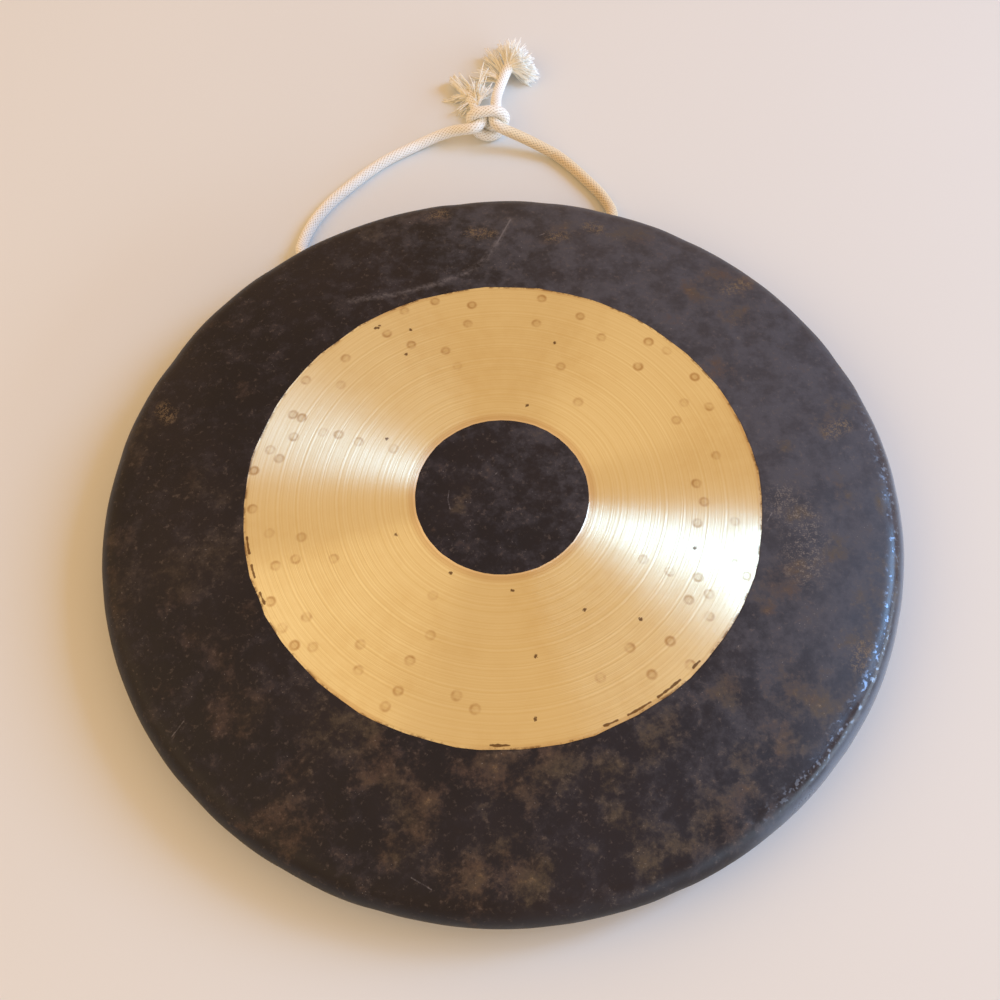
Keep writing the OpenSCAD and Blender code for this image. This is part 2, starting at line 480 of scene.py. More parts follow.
# Clouds of brown and olive on the dark skin: x, y and size, in millimetres
CLOUDS = [
    (-92, -103, 12), (-78, -110, 9), (-70, -128, 12), (-57, -143, 11), (-58, -153, 7), (-72, -162, 6),
    (-110, -147, 12), (-122, -138, 7), (-108, -122, 7), (-30, -129, 13), (-12, -140, 13), (5, -134, 12),
    (30, -143, 9), (50, -132, 9), (30, -165, 8), (40, -181, 9), (72, -168, 12), (88, -158, 7),
    (90, -142, 7), (105, -147, 9), (115, -138, 8), (132, -125, 12), (118, -117, 9), (-42, -177, 10),
    (-36, -185, 7), (-6, -179, 7), (-12, -187, 7), (55, -178, 7), (160, -95, 8), (150, -110, 7),
    (90, -113, 8), (60, -126, 8), (-20, -168, 9), (-130, -95, 9), (-145, -92, 8), (-140, -66, 9),
    (-162, -15, 11), (-160, -28, 9), (-152, -52, 7), (-138, -82, 7), (-140, -8, 11), (-130, -15, 10),
    (-128, -45, 9), (-132, 22, 9), (-150, 30, 7), (-120, 76, 6), (-126, 84, 5), (-190, 8, 8),
    (-190, -12, 8), (-187, -28, 6), (-178, 68, 8), (-184, 52, 8), (-178, -64, 5), (-168, -72, 6),
    (183, 33, 8), (170, 22, 8), (142, -26, 8), (146, 8, 5), (118, 110, 7), (132, 123, 9), (148, 113, 8),
    (140, 95, 8), (125, 58, 7), (165, -20, 7), (187, -27, 6), (158, -48, 7), (125, -60, 8), (138, -56, 10),
    (117, -75, 5), (180, -60, 9), (172, -80, 11), (9, 170, 5), (14, 167, 4), (30, 182, 6), (55, 165, 4),
    (62, 156, 4), (50, 158, 5), (97, 153, 9), (-28, 188, 10), (-12, 186, 6), (-50, 181, 9), (-135, 130, 5),
    (-19, 3, 5), (-17, 10, 3), (-21, -5, 3), (-35, -15, 3),
]


def face_z(r):
    """Height of the face's outer surface at a radius."""
    return FACE_Z - FACE_DROP * (r / GONG_R) ** FACE_POWER


def face_tilt(r):
    """Slope of the face at a radius, as an angle."""
    return math.atan(FACE_POWER * FACE_DROP / GONG_R * (r / GONG_R) ** (FACE_POWER - 1))


# Where the face runs into the bend, and the wall's tilt, as in the CAD model
BEND_CENTRE_R = GONG_R - BEND_R
BEND_TILT = face_tilt(BEND_CENTRE_R)
WALL_TILT = math.pi / 2 + RIM_LEAN
FACE_END_R = BEND_CENTRE_R + BEND_R * math.sin(BEND_TILT)
FACE_END_Z = face_z(FACE_END_R)
BEND_CENTRE_Z = FACE_END_Z - BEND_R * math.cos(BEND_TILT)

# Rounds of hammering: number of blows, between which radii, their size and depth, and between which
# heights where they aren't on the face
HAMMERING = [
    (520, (GOLD_R, GONG_R - 6 * MM), (4 * MM, 9 * MM), (0.03 * MM, 0.14 * MM), None),
    (160, (DARK_R, GOLD_R), (5 * MM, 10 * MM), (0.01 * MM, 0.05 * MM), None),
    (30, (0, DARK_R), (4 * MM, 8 * MM), (0.02 * MM, 0.06 * MM), None),
    (170, (BEND_CENTRE_R, GONG_R), (4 * MM, 8 * MM), (0.08 * MM, 0.26 * MM), (BEND_CENTRE_Z, FACE_END_Z)),
    (150, (GONG_R - 3 * MM, GONG_R), (4 * MM, 8 * MM), (0.05 * MM, 0.2 * MM), (2 * MM, BEND_CENTRE_Z)),
]


def around_axis(r, z):
    """Points all round the axis for rows of radii and heights."""
    return np.stack([r * np.cos(THETA), r * np.sin(THETA), z + 0 * THETA], axis=-1).reshape(-1, 3)


def edge_wobble(radius, corners, wobble, aside, rng):
    """The radius, at each turn, of a hand-scraped edge: short straight cuts round a circle that lies
    a little aside, towards +X."""
    at = (np.arange(corners) + rng.uniform(-0.35, 0.35, corners)) * 2 * math.pi / corners
    r = radius + rng.uniform(-wobble, wobble, corners)
    at = np.concatenate([at[-1:] - 2 * math.pi, at, at[:1] + 2 * math.pi])
    r = np.concatenate([r[-1:], r, r[:1]])
    k = np.clip(np.searchsorted(at, THETA) - 1, 0, len(at) - 2)
    x0, y0 = r[k] * np.cos(at[k]), r[k] * np.sin(at[k])
    x1, y1 = r[k + 1] * np.cos(at[k + 1]), r[k + 1] * np.sin(at[k + 1])
    # where the ray at each turn crosses the cut from corner k to corner k + 1
    cut = x0 * (y1 - y0) - y0 * (x1 - x0)
    return cut / (np.cos(THETA) * (y1 - y0) - np.sin(THETA) * (x1 - x0)) + aside * np.cos(THETA)


def on_bend(radius, tilt):
    """Radius and height of the point with that tilt, on an arc about the bend's centre."""
    return BEND_CENTRE_R + radius * math.sin(tilt), BEND_CENTRE_Z + radius * math.cos(tilt)


def outer_rows():
    """The outer side's rows from the middle to the foot: radius, height, normal's tilt, scrape."""
    radii = np.concatenate([
        np.linspace(0, DARK_R - 2 * MM, 18)[1:], DARK_R + EDGE_ROWS,
        np.linspace(DARK_R + 2 * MM, GOLD_R - 2 * MM, 46), GOLD_R + EDGE_ROWS,
        np.linspace(GOLD_R + 2 * MM, FACE_END_R, 34)[:-1],
    ])
    rows = [(r, face_z(r), face_tilt(r), DARK_R < r < GOLD_R) for r in radii]
    rows += [(*on_bend(BEND_R, tilt), tilt, False) for tilt in np.linspace(BEND_TILT, WALL_TILT, 16)]
    wall_r, wall_z = rows[-1][:2]
    for z in np.linspace(wall_z, LIP, 10)[1:]:
        rows.append((wall_r - (wall_z - z) * math.tan(RIM_LEAN), z, WALL_TILT, False))
    return np.array(rows, float)


def inner_rows():
    """The inner side's rows, from the foot back to the middle: radius and height."""
    inner_bend_r = BEND_R - SHEET_T
    wall_r, wall_z = on_bend(inner_bend_r, WALL_TILT)
    foot_r = wall_r - wall_z * math.tan(RIM_LEAN)
    outer_foot_r = foot_r + SHEET_T / math.cos(RIM_LEAN)
    rows = [
        (outer_foot_r - 0.25 * MM, 0.12 * MM), (outer_foot_r - 0.6 * MM, 0),
        (foot_r + 0.45 * MM, 0), (foot_r + 0.1 * MM, 0.15 * MM),
    ]
    rows += [(wall_r - (wall_z - z) * math.tan(RIM_LEAN), z) for z in np.linspace(LIP, wall_z, 7)[:-1]]
    rows += [on_bend(inner_bend_r, tilt) for tilt in np.linspace(WALL_TILT, BEND_TILT, 9)]
    rows += [(r, face_z(r) - SHEET_T) for r in np.linspace(rows[-1][0], 0, 20)[1:-1]]
    return np.array(rows, float)


def clouds(points):
    """How thick the brown and olive clouds of the patina lie at each point, 0 to 1."""
    drift = np.array([noise.noise_vector(Vector(p) / (20 * MM)) * 6 * MM
                      + noise.noise_vector(Vector(p) / (7 * MM)) * 4 * MM for p in points])
    x, y = (points + drift)[:, :2].T
    clear = np.ones(len(points))
    for cloud_x, cloud_y, size in CLOUDS:
        apart = (x - cloud_x * MM) ** 2 + (y - cloud_y * MM) ** 2
        clear *= 1 - np.exp(-apart / (CLOUD_REACH * size * MM) ** 2)
    return 1 - clear


def blows(count, radii, sizes, depths, heights, rng):
    """Random blows of the hammer: each one's centre, size and depth."""
    r = np.sqrt(rng.uniform(radii[0] ** 2, radii[1] ** 2, count))
    turn = rng.uniform(0, 2 * math.pi, count)
    z = face_z(r) if heights is None else rng.uniform(*heights, count)
    centres = np.stack([r * np.cos(turn), r * np.sin(turn), z], axis=-1)
    return zip(centres, rng.uniform(*sizes, count), rng.uniform(*depths, count))


def hammer_marks(points, rng):
    """How far the hammer pressed each point in, along its normal."""
    pressed = np.zeros(len(points))
    for row in HAMMERING:
        for centre, size, depth in blows(*row, rng):
            near = np.flatnonzero(np.abs(points - centre).max(axis=1) < 3 * size)
            apart = ((points[near] - centre) ** 2).sum(axis=1)
            pressed[near] += depth * np.exp(-apart / (2 * size * size))
    return pressed


def outer_points(rows, rng):
    """Points of the outer side: its rows follow the scraped edges and are dented by the hammer."""
    dark_edge = edge_wobble(*DARK_EDGE, rng) - DARK_R
    gold_edge = edge_wobble(*GOLD_EDGE, rng) - GOLD_R
    row_r, row_z, tilt, scraped = (column[:, None] for column in rows.T)
    to_dark = np.interp(row_r, [0, DARK_R, GOLD_R], [0, 1, 0])
    to_gold = np.interp(row_r, [DARK_R, GOLD_R, GOLD_R + EDGE_FADE], [0, 1, 0])
    r = row_r + to_dark * dark_edge + to_gold * gold_edge
    on_face = row_r < FACE_END_R - 1e-6
    z = row_z - SCRAPE_DEPTH * scraped + np.where(on_face, face_z(r) - face_z(row_r), 0)
    points = around_axis(r, z)
    normal = around_axis(np.sin(tilt), np.cos(tilt))
    pressed = hammer_marks(points, rng).reshape(r.shape)
    pressed -= pressed.mean(axis=1, keepdims=True)
    return points - normal * pressed.reshape(-1, 1)


def gong_faces(scraped):
    """Faces of the closed sheet and their material slots, for the bands between its rows of points."""
    faces = []
    for i in range(len(scraped)):
        a = 1 + i * TURNS
        for k in range(TURNS):
            n = (k + 1) % TURNS
            faces.append((a + k, a + TURNS + k, a + TURNS + n, a + n))
    last = 1 + len(scraped) * TURNS
    end = last + TURNS
    for k in range(TURNS):
        n = (k + 1) % TURNS
        faces.append((0, 1 + k, 1 + n))
        faces.append((end, last + n, last + k))
    slots = np.concatenate([np.repeat(scraped, TURNS), np.zeros(2 * TURNS)])
    return faces, slots.astype(np.int32)


def gong_mesh(materials):
    """The gong as one closed sheet: outer side, foot and inner side, with its cord holes cut."""
    rng = np.random.default_rng(GONG_SEED)
    outer, inner = outer_rows(), inner_rows()
    outside = outer_points(outer, rng)
    inside = around_axis(inner[:, :1], inner[:, 1:])
    points = np.vstack([(0, 0, FACE_Z), outside, inside, (0, 0, FACE_Z - SHEET_T)])
    row_r = np.concatenate([outer[:, 0], inner[:, 0]])
    nominal_r = np.concatenate([[0], np.repeat(row_r, TURNS), [0]])

    band_r = (outer[1:, 0] + outer[:-1, 0]) / 2
    scraped = np.zeros(len(row_r) - 1)
    scraped[:len(band_r)] = (band_r > DARK_R - 1e-6) & (band_r < GOLD_R)
    faces, slots = gong_faces(scraped)
    gong = mesh_piece("gong_bronze", points, faces, {"nominal_r": nominal_r, "cloud": clouds(points)})
    for material in materials:
        gong.data.materials.append(material)
    gong.data.polygons.foreach_set("material_index", slots)
    for side in (-1, 1):
        cut_away(gong, hole_cutter(side))
    return gong


def hole_cutter(side):
    """A round bar through the rim at the left (side -1) or right (side 1) cord hole."""
    angle = 2 * math.pi * np.arange(CUTTER_SIDES) / CUTTER_SIDES
    out = np.array(at_hole(side, 1)) * (1, 1, 0)
    across = np.array([-out[1], out[0], 0])
    ring = across * np.cos(angle)[:, None] + np.array([0, 0, 1]) * np.sin(angle)[:, None]
    rings = [out * r + (0, 0, HOLE_Z) + ring * HOLE_R for r in CUTTER_ENDS]
    return mesh_piece("cutter", np.vstack(rings), tube_faces(2, CUTTER_SIDES))


def cut_away(gong, cutter):
    """Cuts the cutter's shape out of the gong's mesh and removes the cutter."""
    boolean = gong.modifiers.new("hole", "BOOLEAN")
    boolean.operation = "DIFFERENCE"
    boolean.solver = "MANIFOLD"
    boolean.object = cutter
    graph = bpy.context.evaluated_depsgraph_get()
    cut = bpy.data.meshes.new_from_object(gong.evaluated_get(graph))
    gong.modifiers.clear()
    old = gong.data
    gong.data = cut
    bpy.data.meshes.remove(old)
    bpy.data.objects.remove(cutter)


# ---------- material helpers

def srgb(r, g, b):
    """A shader colour from 8-bit display values."""
    linear = [v / 12.92 if v <= 0.04045 else ((v + 0.055) / 1.055) ** 2.4
              for v in (r / 255, g / 255, b / 255)]
    return (*linear, 1)


def polar(angle, r):
    """X and y of a point at an angle in degrees and a radius."""
    a = math.radians(angle)
    return r * math.cos(a), r * math.sin(a)


class Tree:
    """A material's node tree, built by short calls."""

    def __init__(self, name):
        self.material = bpy.data.materials.new(name)
        self.material.use_nodes = True
        self.tree = self.material.node_tree
        self.shader = self.tree.nodes["Principled BSDF"]

    def node(self, kind, inputs=None, **settings):
        """A node with some settings, and with a value or a link on each of some inputs."""
        n = self.tree.nodes.new(kind)
        for key, value in settings.items():
            setattr(n, key, value)
        for key, value in (inputs or {}).items():
            self.set(n.inputs[key], value)
        return n

    def set(self, socket, value):
        if isinstance(value, bpy.types.NodeSocket):
            self.tree.links.new(value, socket)
        else:
            socket.default_value = value

    @cached_property
    def place(self):
        return self.node("ShaderNodeTexCoord").outputs["Object"]

    @cached_property
    def flat(self):
        """The place, brought down to the floor."""
        return self.vector("MULTIPLY", self.place, (1, 1, 0))

    @cached_property
    def height(self):
        return self.node("ShaderNodeSeparateXYZ", {"Vector": self.place}).outputs[2]

    def towards(self, x, y):
        """How far a place lies from the middle in the direction (x, y)."""
        return self.vector("DOT_PRODUCT", self.place, (x, y, 0))

    def maths(self, operation, first, *others):
        """An operation on two values, or on several in turn."""
        for other in others:
            n = self.node("ShaderNodeMath", {0: first, 1: other}, operation=operation)
            first = n.outputs[0]
        return first

    def product(self, *values):
        return self.maths("MULTIPLY", *values)

    def total(self, *values):
        return self.maths("ADD", *values)

    def least(self, *values):
        return self.maths("MINIMUM", *values)

    def greatest(self, *values):
        return self.maths("MAXIMUM", *values)

    def remap(self, value, low, high, to_low=0.0, to_high=1.0):
        """A smooth step from to_low, where the value is low, to to_high, where it is high."""
        n = self.node("ShaderNodeMapRange", interpolation_type="SMOOTHSTEP", clamp=True)
        for socket, v in zip(n.inputs, (value, low, high, to_low, to_high)):
            self.set(socket, v)
        return n.outputs[0]

    def noise(self, scale, detail=4.0, roughness=0.5):
        inputs = {"Vector": self.place, "Scale": scale, "Detail": detail, "Roughness": roughness}
        return self.node("ShaderNodeTexNoise", inputs).outputs["Fac"]

    def jitter(self, noise, size):
        """A noise turned into a value that wanders evenly about zero."""
        return self.product(self.maths("SUBTRACT", noise, 0.5), size)

    def mix(self, factor, a, b, blend="MIX"):
        """A colour from a, where the factor is 0, to b, where it is 1."""
        n = self.node("ShaderNodeMix", data_type="RGBA", blend_type=blend)
        for socket, value in ((n.inputs["Factor"], factor), (n.inputs[6], a), (n.inputs[7], b)):
            self.set(socket, value)
        return n.outputs[2]

    def vector(self, operation, *values):
        """An operation on vectors, which gives a number or a vector."""
        n = self.node("ShaderNodeVectorMath", operation=operation)
        for socket, value in zip(n.inputs, values):
            self.set(socket, value)
        return n.outputs["Value" if operation in ("DISTANCE", "DOT_PRODUCT", "LENGTH") else "Vector"]

    def nearest_mark(self, marks):
        """Distance to the nearest of some marks, each given by its angle in degrees and radius in mm."""
        centres = [(*polar(angle, r * MM), 0) for angle, r in marks]
        return self.least(*[self.vector("DISTANCE", self.flat, centre) for centre in centres])

    def nearest_line(self, *lines):
        """Distance to the nearest of some lines, each a list of points with x and y in mm."""
        stretches = [ends for points in lines for ends in zip(points, points[1:])]
        return self.least(*[self.distance_to_stretch(start, end) for start, end in stretches])

    def distance_to_stretch(self, start, end):
        """Distance to the straight line between two points with x and y in mm."""
        way = ((end[0] - start[0]) * MM, (end[1] - start[1]) * MM, 0)
        offset = self.vector("SUBTRACT", self.flat, (start[0] * MM, start[1] * MM, 0))
        share = self.maths("DIVIDE", self.vector("DOT_PRODUCT", offset, way), way[0] ** 2 + way[1] ** 2)
        share = self.greatest(self.least(share, 1.0), 0.0)
        foot = self.node("ShaderNodeVectorMath", {0: way, "Scale": share}, operation="SCALE").outputs[0]
        return self.vector("DISTANCE", offset, foot)

    def attribute(self, name):
        return self.node("ShaderNodeAttribute", attribute_name=name).outputs["Fac"]

    def bump(self, height, strength, distance):
        inputs = {"Height": height, "Strength": strength, "Distance": distance}
        return self.node("ShaderNodeBump", inputs).outputs[0]

    def constant(self, key, value):
        """Sets a value that is the same all over on the shader's own socket."""
        self.shader.inputs[key].default_value = value

    def finish(self, **inputs):
        """The material, with its shader's inputs set; their names have _ for a space."""
        for key, value in inputs.items():
            self.set(self.shader.inputs[key.replace("_", " ")], value)
        return self.material


# ---------- the dark skin

# Its colours
SOOT, PALER_SOOT = srgb(14, 12, 21), srgb(24, 20, 27)
GREY_BLOTCH = srgb(44, 40, 48)
# Painted sheen: a pale blue-grey that stands in for the window's sheen on the right of the skin
PAINTED_SHEEN = srgb(86, 88, 97)
BROWN_CLOUD, OLIVE_CLOUD, GOLDEN_CLOUD = srgb(80, 62, 49), srgb(79, 68, 50), srgb(138, 112, 76)
PALE_GRAIN = srgb(104, 94, 88)
DUST = srgb(185, 180, 175)
CRUST = srgb(120, 114, 108)
BARE_METAL = srgb(118, 102, 78)
SCRATCHED = srgb(140, 138, 142)
# Painted shade on the lower wall of the rim
WALL_SHADE = srgb(13, 12, 14)
# Painted reflection: a blue-grey that stands in for the window's reflection on the bend
PAINTED_REFLECTION = srgb(126, 141, 160)

# The long pale scratch near the top of the gong: x and y in millimetres, as in the next tables
LONG_SCRATCH = [(29, 176), (19, 158), (11, 147), (1, 139), (-18, 133), (-40, 130), (-64, 130)]
SMALL_SCRATCHES = [
    [(-25, 6), (-26.2, 1), (-25.7, -4)], [(-2.8, 10.6), (0, 13)], [(126, -31), (129, -27)],
    [(-165, -96), (-159, -90)], [(40, 160), (46, 162)], [(-63, -174), (-55, -180)],
]
# The middle of a patch of pale crust on the right
CRUST_PATCH = [(139, -56), (144, -34), (137, -22)]
# Where the skin has flaked off to the bronze
BARE_PATCHES = [
    [(7, 169), (16, 166)], [(50, 159), (55, 158)], [(72, 165), (76, 163)], [(153, -106), (158, -98)],
    [(170, 16), (179, 20)], [(-166, 80), (-163, 74)], [(138, 111), (149, 116)], [(-14, 187), (-8, 187)],
]


def below_face(*drops):
    """Heights, from how far they lie below the face's middle in millimetres."""
    return [FACE_Z - drop * MM for drop in drops]


# Heights between which the rim's finishes fade in: the face's scratches, the wall's painted shade, the
# bend from above and from below, the band of painted reflection on the bend, and the painted glints above
# it
SCRATCHES_IN = below_face(14, 12)
WALL_IN = below_face(16, 23)
BEND_IN_FROM_FACE = below_face(10.8, 12)
BEND_IN_FROM_WALL = below_face(32, 22)
BAND_IN = below_face(13.5, 18)
GLINTS_IN = below_face(15, 13)


def sooty(t, smoke, blotch, grain):
    """Purple-black skin with grey blotches, and a pale painted sheen, uneven and thickening to the right
    where the window light falls.
    """
    colour = t.mix(t.remap(smoke, 0.38, 0.62), SOOT, PALER_SOOT)
    colour = t.mix(t.product(t.remap(blotch, 0.45, 0.7), 0.5), colour, GREY_BLOTCH)
    to_the_right = t.remap(t.towards(0.95, 0.3), -60 * MM, 150 * MM, 0, 0.46)
    uneven = t.total(t.remap(blotch, 0.36, 0.64, 0.06, 0.3), t.product(grain, 0.22))
    # Painted sheen, uneven, thickening to the right
    painted_sheen = t.remap(t.total(to_the_right, uneven), 0.3, 0.9, 0, 0.6)
    return t.mix(painted_sheen, colour, PAINTED_SHEEN)


def clouded(t, colour, smoke, blotch, grain):
    """Brown and olive clouds with golden middles, thicker towards the bottom and the right."""
    zone = t.remap(t.towards(0.8, -0.6), -120 * MM, 60 * MM, 0.35, 0.85)
    cover = t.total(blotch, t.product(t.attribute("cloud"), 0.22), t.jitter(grain, 0.45))
    brown = t.mix(t.remap(smoke, 0.42, 0.58), BROWN_CLOUD, OLIVE_CLOUD)
    colour = t.mix(t.product(t.remap(cover, 0.56, 0.9), zone), colour, brown)
    return t.mix(t.product(t.remap(cover, 0.82, 1.04), zone), colour, GOLDEN_CLOUD)


def dusted(t, colour, blotch, grain, dust):
    """Pale grain, and bright specks of dust in patches."""
    colour = t.mix(t.product(t.remap(grain, 0.56, 0.72), 0.34), colour, PALE_GRAIN)
    specks = t.product(t.remap(dust, 0.7, 0.76), t.remap(blotch, 0.5, 0.62), 0.5)
    return t.mix(specks, colour, DUST)


def flaked(t, colour, flakes):
    """A patch of pale crust, and patches where the skin has flaked off to the bronze."""
    crust = t.remap(t.nearest_line(CRUST_PATCH), 16 * MM, 2 * MM)
    colour = t.mix(t.product(crust, t.remap(flakes, 1.0, 1.2), 0.6), colour, CRUST)
    bare = t.remap(t.nearest_line(*BARE_PATCHES), 7 * MM, 1 * MM)
    return t.mix(t.product(bare, t.remap(flakes, 0.94, 1.14), 0.6), colour, BARE_METAL)


def scratched(t, colour, grain):
    """Pale scratches in the face: a long one, sharp at its start, and small ones."""
    broken = t.remap(grain, 0.36, 0.62)
    long_one = t.remap(t.nearest_line(LONG_SCRATCH), 3 * MM, 0, 0, 0.24)
    sharp_start = t.remap(t.nearest_line(LONG_SCRATCH[:2]), 0.9 * MM, 0, 0, 0.4)
    small_ones = t.remap(t.nearest_line(*SMALL_SCRATCHES), 0.45 * MM, 0, 0, 0.4)
    scratch = t.greatest(t.product(long_one, broken), sharp_start, t.product(small_ones, broken))
    return t.mix(t.product(scratch, t.remap(t.height, *SCRATCHES_IN)), colour, SCRATCHED)


def band_and_glints(t):
    """Where the bend gets its painted blue-grey reflection: a band on its outside, and painted glints
    above it.
    """
    glints = t.product(t.remap(t.height, *GLINTS_IN), t.remap(t.noise(420, 3), 0.56, 0.64))
    return t.greatest(t.remap(t.height, *BAND_IN), glints)


def patina(name):
    """Dark oxide skin: sooty with painted sheen, clouded, dusty, scratched; painted shade on the wall;
    smoother lower right bend with painted reflection and glints.
    """
    t = Tree(name)
    smoke = t.noise(17, 4, 0.55)
    blotch = t.noise(80, 7, 0.68)
    grain = t.noise(380, 5, 0.7)
    dust = t.noise(1300, 2, 0.5)
    colour = sooty(t, smoke, blotch, grain)
    colour = clouded(t, colour, smoke, blotch, grain)
    colour = dusted(t, colour, blotch, grain, dust)
    colour = flaked(t, colour, t.total(grain, dust))
    colour = scratched(t, colour, grain)

    # The lower right, facing the window and sky lights: the bend is smoother here
    window_side = t.remap(t.towards(0.9, -0.43), 145 * MM, 185 * MM)
    bend = t.product(t.remap(t.height, *BEND_IN_FROM_FACE), t.remap(t.height, *BEND_IN_FROM_WALL))
    polish_and_painted_reflection = t.product(band_and_glints(t), window_side, bend)
    # Painted shade: the wall is darkened towards the floor, less on the window side
    wall_shade = t.product(t.remap(t.height, *WALL_IN), t.remap(window_side, 0, 1, 0.85, 0.3))
    colour = t.mix(wall_shade, colour, WALL_SHADE)
    # Painted reflection and glints on the bend, which is also partly metallic here
    colour = t.mix(t.product(polish_and_painted_reflection, 0.85), colour, PAINTED_REFLECTION)
    rough = t.maths("SUBTRACT", t.remap(blotch, 0.35, 0.65, 0.52, 0.62), t.product(bend, 0.08),
                    t.product(window_side, bend, 0.27))
    relief = t.total(t.product(blotch, 0.6), t.product(grain, 0.4))
    t.constant("Specular IOR Level", 0.35)
    return t.finish(Base_Color=colour, Roughness=rough, Metallic=t.product(polish_and_painted_reflection, 0.6),
                    Normal=t.bump(relief, 0.25, 0.5 * MM))


# ---------- the scraped ring

# Its colours
GROOVE, RIDGE = srgb(242, 238, 201), srgb(255, 254, 225)
STAIN = srgb(220, 200, 144)
PUNCHED = srgb(176, 136, 76)
PIT = srgb(84, 52, 28)
# The inner one is painted shade beside the dark middle; the outer one is haze on the bronze
INNER_EDGE_SHADE, OUTER_HAZE = srgb(196, 152, 106), srgb(186, 144, 82)
TORN_SKIN = srgb(112, 78, 42)
# Painted highlight along the step at the dark middle's edge
PAINTED_EDGE_HIGHLIGHT = srgb(250, 240, 214)

# Punch marks: angle in degrees and radius in millimetres
STAMPS = [
    (4, 109), (18, 117), (22, 107), (27, 121), (37, 121), (42, 119), (39, 103), (53, 107), (61, 115),
    (72, 121), (72, 104), (90, 116), (92, 104), (99, 123), (101, 90), (107, 123), (110, 101), (114, 114),
    (127, 115), (134, 105), (138, 122), (148, 116), (148, 111), (154, 110), (150, 97), (149, 89),
    (149, 78), (159, 119), (161, 113), (165, 124), (175, 122), (182, 114), (191, 114), (191, 104),
    (195, 87), (199, 122), (206, 123), (211, 123), (214, 117), (207, 111), (226, 111), (222, 101),
    (236, 119), (237, 110), (236, 95), (251, 104), (256, 109), (288, 104), (299, 115), (299, 99),
    (308, 109), (307, 123), (319, 116), (320, 104), (324, 111), (327, 103), (325, 90), (332, 124),
    (334, 117), (345, 114), (343, 96), (350, 99), (356, 96),
]
FAINT_STAMPS = [
    (18, 98), (46, 66), (60, 81), (99, 79), (146, 60), (185, 99), (238, 80), (231, 62), (325, 76),
]
STAMP_STRENGTH = 0.52
FAINT_STAMP_STRENGTH = 0.3
# Dark pits: angle and radius
PITS = [
    (115.6, 120.4), (115, 120.2), (114.4, 120.6), (307, 92), (232, 48), (68, 53), (268, 51), (195, 55),
    (335, 97), (273, 85), (270, 114), (295, 72), (65, 94), (108, 110), (113, 97), (143, 66),
]
# Slivers of skin that the scraper left along the ring's outer edge: first and last angle
SLIVERS = [
    (182, 186), (189, 192), (196, 199), (260, 264), (284, 287), (289.5, 295), (297, 303), (307, 309),
]
SLIVER_R = GOLD_R - 2 * MM


def turned_grooves(t, mottle):
    """Fine rings left by turning, which wander a little."""
    rings_at = t.total(t.vector("LENGTH", t.flat), t.jitter(mottle, 2 * MM))
    inputs = {"W": rings_at, "Scale": 900.0, "Detail": 2.0, "Roughness": 0.6}
    return t.node("ShaderNodeTexNoise", inputs, noise_dimensions="1D").outputs["Fac"]


def stained(t, colour, mottle):
    """Faint olive stains in soft patches."""
    patchy = t.remap(t.noise(140, 4, 0.65), 0.3, 0.7, 0.5, 1.2)
    return t.mix(t.product(t.remap(mottle, 0.4, 0.68), patchy, 0.22), colour, STAIN)


def punched(t, colour, mottle):
    """Round punch marks, dark at the rim and fainter in the middle, each more or less worn away."""
    worn = t.remap(t.noise(90, 3, 0.6), 0.34, 0.66, 0.2, 1.1)
    for marks, strength in ((STAMPS, STAMP_STRENGTH), (FAINT_STAMPS, FAINT_STAMP_STRENGTH)):
        near = t.total(t.nearest_mark(marks), t.jitter(mottle, 0.8 * MM))
        rim = t.product(t.remap(near, 0.9 * MM, 2.1 * MM), t.remap(near, 3.3 * MM, 2.2 * MM), 0.7)
        mark = t.total(rim, t.remap(near, 3 * MM, 1.6 * MM, 0, 0.6))
        colour = t.mix(t.product(mark, worn, strength), colour, PUNCHED)
    return colour


def pitted(t, colour):
    """Ragged dark pits, and the slivers along the outer edge."""
    ragged = t.jitter(t.noise(900, 2, 0.6), 2.4 * MM)
    pits = t.remap(t.total(t.nearest_mark(PITS), ragged), 1.1 * MM, 0.5 * MM)
    arcs = [[polar(angle, SLIVER_R / MM) for angle in np.linspace(*ends, 3)] for ends in SLIVERS]
    torn = t.jitter(t.noise(260, 3, 0.6), 1.8 * MM)
    slivers = t.remap(t.total(t.nearest_line(*arcs), torn), 0.75 * MM, 0.3 * MM)
    return t.mix(t.product(t.greatest(pits, slivers), 0.85), colour, PIT)


def edged(t, colour, mottle):
    """Painted shade along the inner edge, brown haze and torn skin along the outer one, and a painted
    highlight line at the inner one.
    """
    r = t.attribute("nominal_r")
    # Painted shade just outside the dark middle
    colour = t.mix(t.remap(r, DARK_R + 5 * MM, DARK_R + 1.5 * MM, 0, 0.3), colour, INNER_EDGE_SHADE)
    haze = t.product(t.remap(r, GOLD_R - 3 * MM, GOLD_R - 0.5 * MM), t.remap(mottle, 0.4, 0.6), 0.4)
    colour = t.mix(haze, colour, OUTER_HAZE)
    torn = t.remap(t.noise(120, 4, 0.7), 0.48, 0.6)
    torn = t.product(t.remap(r, GOLD_R - 1.6 * MM, GOLD_R - 0.3 * MM), torn, 0.75)
    colour = t.mix(torn, colour, TORN_SKIN)
    # Painted highlight: a pale line at the inner edge
    return t.mix(t.remap(r, DARK_R + 1 * MM, DARK_R + 0.5 * MM, 0, 0.8), colour, PAINTED_EDGE_HIGHLIGHT)


